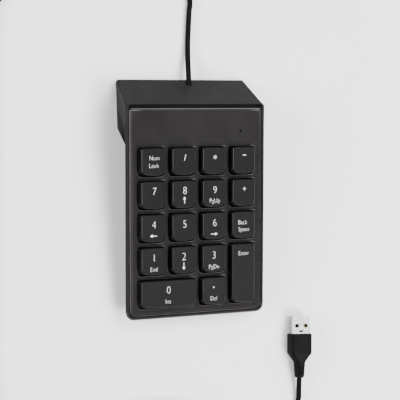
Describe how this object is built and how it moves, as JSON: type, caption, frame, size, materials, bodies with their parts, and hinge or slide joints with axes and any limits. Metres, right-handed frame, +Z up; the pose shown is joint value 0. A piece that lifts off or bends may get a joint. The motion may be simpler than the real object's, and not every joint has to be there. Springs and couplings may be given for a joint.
{
  "type": "numeric keypad",
  "caption": "Wired numeric keypad: a thin key deck on a case with a rear hump that tilts it, spring-back keycaps over a dome sheet, and a lead with a rectangular plug.",
  "frame": {"origin": "centre of the keypad's footprint on the desk, under the case, without the cord", "axes": "+X to the user's right, +Y away from the user towards the rear hump, +Z up from the desk"},
  "size_m": [0.2005, 0.3014, 0.0246],
  "materials": {
    "case_plastic": "black ABS, fine moulded texture",
    "key_plastic": "black ABS keycap, fine texture, white printed legend",
    "cord_jacket": "black PVC jacket, satin",
    "foot_rubber": "matt black rubber",
    "dome_silicone": "translucent silicone",
    "film": "clear polyester film",
    "board": "green solder mask",
    "epoxy": "black epoxy",
    "clear_plastic": "clear acrylic",
    "nylon": "natural nylon",
    "capacitor_sleeve": "dark blue sleeve",
    "screw_steel": "zinc-plated steel",
    "wire_steel": "bright spring steel",
    "plug_nickel": "nickel-plated steel",
    "contact_gold": "gold-plated contact"
  },
  "bodies": {
    "case": {"bottom_cover": "case_plastic", "top_cover": "case_plastic", "dome_mat": "dome_silicone", "upper_membrane": "film", "membrane_spacer": "film", "lower_membrane": "film", "controller_board": "board", "controller_chip": "epoxy", "membrane_clamp_bar": "nylon", "num_lock_led": "clear_plastic", "led_light_pipe": "clear_plastic", "capacitor": "capacitor_sleeve", "cable_header": "nylon", "clamp_screw_1": "screw_steel", "clamp_screw_2": "screw_steel", "clamp_screw_3": "screw_steel", "cord_grommet": "cord_jacket", "inner_lead": "cord_jacket", "case_screw_1": "screw_steel", "case_screw_2": "screw_steel", "case_screw_3": "screw_steel", "case_screw_4": "screw_steel", "case_screw_5": "screw_steel", "case_screw_6": "screw_steel", "foot_front_left": "foot_rubber", "foot_front_right": "foot_rubber", "foot_rear_left": "foot_rubber", "foot_rear_right": "foot_rubber", "cord_lead": "cord_jacket", "cord_coil": "cord_jacket", "coil_tie": "foot_rubber", "cord_tail": "cord_jacket", "plug_overmould": "cord_jacket", "plug_shell": "plug_nickel", "plug_tongue": "nylon", "plug_contact_1": "contact_gold", "plug_contact_2": "contact_gold", "plug_contact_3": "contact_gold", "plug_contact_4": "contact_gold"},
    "key_num_lock": {"key_num_lock": "key_plastic"},
    "key_divide": {"key_divide": "key_plastic"},
    "key_multiply": {"key_multiply": "key_plastic"},
    "key_minus": {"key_minus": "key_plastic"},
    "key_7": {"key_7": "key_plastic"},
    "key_8": {"key_8": "key_plastic"},
    "key_9": {"key_9": "key_plastic"},
    "key_plus": {"key_plus": "key_plastic"},
    "key_4": {"key_4": "key_plastic"},
    "key_5": {"key_5": "key_plastic"},
    "key_6": {"key_6": "key_plastic"},
    "key_backspace": {"key_backspace": "key_plastic"},
    "key_1": {"key_1": "key_plastic"},
    "key_2": {"key_2": "key_plastic"},
    "key_3": {"key_3": "key_plastic"},
    "key_enter": {"key_enter": "key_plastic"},
    "key_0": {"key_0": "key_plastic"},
    "key_decimal": {"key_decimal": "key_plastic"},
    "zero_stabiliser": {"zero_stabiliser": "wire_steel"},
    "enter_stabiliser": {"enter_stabiliser": "wire_steel"}
  },
  "joints": [
    {"name": "key_num_lock_press", "type": "slide", "parent": "case", "child": "key_num_lock", "axis": [0, 0.1115, -0.9938], "range_m": [0, 0.0026], "stiffness_N_per_m": 220, "springref_m": -0.0006, "deforming": ["dome_mat"]},
    {"name": "key_divide_press", "type": "slide", "parent": "case", "child": "key_divide", "axis": [0, 0.1115, -0.9938], "range_m": [0, 0.0026], "stiffness_N_per_m": 220, "springref_m": -0.0006, "deforming": ["dome_mat"]},
    {"name": "key_multiply_press", "type": "slide", "parent": "case", "child": "key_multiply", "axis": [0, 0.1115, -0.9938], "range_m": [0, 0.0026], "stiffness_N_per_m": 220, "springref_m": -0.0006, "deforming": ["dome_mat"]},
    {"name": "key_minus_press", "type": "slide", "parent": "case", "child": "key_minus", "axis": [0, 0.1115, -0.9938], "range_m": [0, 0.0026], "stiffness_N_per_m": 220, "springref_m": -0.0006, "deforming": ["dome_mat"]},
    {"name": "key_7_press", "type": "slide", "parent": "case", "child": "key_7", "axis": [0, 0.1115, -0.9938], "range_m": [0, 0.0026], "stiffness_N_per_m": 220, "springref_m": -0.0006, "deforming": ["dome_mat"]},
    {"name": "key_8_press", "type": "slide", "parent": "case", "child": "key_8", "axis": [0, 0.1115, -0.9938], "range_m": [0, 0.0026], "stiffness_N_per_m": 220, "springref_m": -0.0006, "deforming": ["dome_mat"]},
    {"name": "key_9_press", "type": "slide", "parent": "case", "child": "key_9", "axis": [0, 0.1115, -0.9938], "range_m": [0, 0.0026], "stiffness_N_per_m": 220, "springref_m": -0.0006, "deforming": ["dome_mat"]},
    {"name": "key_plus_press", "type": "slide", "parent": "case", "child": "key_plus", "axis": [0, 0.1115, -0.9938], "range_m": [0, 0.0026], "stiffness_N_per_m": 220, "springref_m": -0.0006, "deforming": ["dome_mat"]},
    {"name": "key_4_press", "type": "slide", "parent": "case", "child": "key_4", "axis": [0, 0.1115, -0.9938], "range_m": [0, 0.0026], "stiffness_N_per_m": 220, "springref_m": -0.0006, "deforming": ["dome_mat"]},
    {"name": "key_5_press", "type": "slide", "parent": "case", "child": "key_5", "axis": [0, 0.1115, -0.9938], "range_m": [0, 0.0026], "stiffness_N_per_m": 220, "springref_m": -0.0006, "deforming": ["dome_mat"]},
    {"name": "key_6_press", "type": "slide", "parent": "case", "child": "key_6", "axis": [0, 0.1115, -0.9938], "range_m": [0, 0.0026], "stiffness_N_per_m": 220, "springref_m": -0.0006, "deforming": ["dome_mat"]},
    {"name": "key_backspace_press", "type": "slide", "parent": "case", "child": "key_backspace", "axis": [0, 0.1115, -0.9938], "range_m": [0, 0.0026], "stiffness_N_per_m": 220, "springref_m": -0.0006, "deforming": ["dome_mat"]},
    {"name": "key_1_press", "type": "slide", "parent": "case", "child": "key_1", "axis": [0, 0.1115, -0.9938], "range_m": [0, 0.0026], "stiffness_N_per_m": 220, "springref_m": -0.0006, "deforming": ["dome_mat"]},
    {"name": "key_2_press", "type": "slide", "parent": "case", "child": "key_2", "axis": [0, 0.1115, -0.9938], "range_m": [0, 0.0026], "stiffness_N_per_m": 220, "springref_m": -0.0006, "deforming": ["dome_mat"]},
    {"name": "key_3_press", "type": "slide", "parent": "case", "child": "key_3", "axis": [0, 0.1115, -0.9938], "range_m": [0, 0.0026], "stiffness_N_per_m": 220, "springref_m": -0.0006, "deforming": ["dome_mat"]},
    {"name": "key_enter_press", "type": "slide", "parent": "case", "child": "key_enter", "axis": [0, 0.1115, -0.9938], "range_m": [0, 0.0026], "stiffness_N_per_m": 220, "springref_m": -0.0006, "deforming": ["dome_mat"]},
    {"name": "key_0_press", "type": "slide", "parent": "case", "child": "key_0", "axis": [0, 0.1115, -0.9938], "range_m": [0, 0.0026], "stiffness_N_per_m": 220, "springref_m": -0.0006, "deforming": ["dome_mat"]},
    {"name": "key_decimal_press", "type": "slide", "parent": "case", "child": "key_decimal", "axis": [0, 0.1115, -0.9938], "range_m": [0, 0.0026], "stiffness_N_per_m": 220, "springref_m": -0.0006, "deforming": ["dome_mat"]},
    {"name": "zero_stabiliser_turn", "type": "hinge", "parent": "case", "child": "zero_stabiliser", "pos_m": [-0.019, -0.05774, 0.00896], "axis": [-1, 0, 0], "range_deg": [0, 18]},
    {"name": "enter_stabiliser_turn", "type": "hinge", "parent": "case", "child": "enter_stabiliser", "pos_m": [0.0317, -0.04512, 0.01037], "axis": [0, -0.9938, -0.1115], "range_deg": [0, 18]}
  ],
  "couplings": [
    {"joint": "zero_stabiliser_turn", "follows": "key_0_press", "rad_per_m": 119.98},
    {"joint": "enter_stabiliser_turn", "follows": "key_enter_press", "rad_per_m": 119.98}
  ]
}
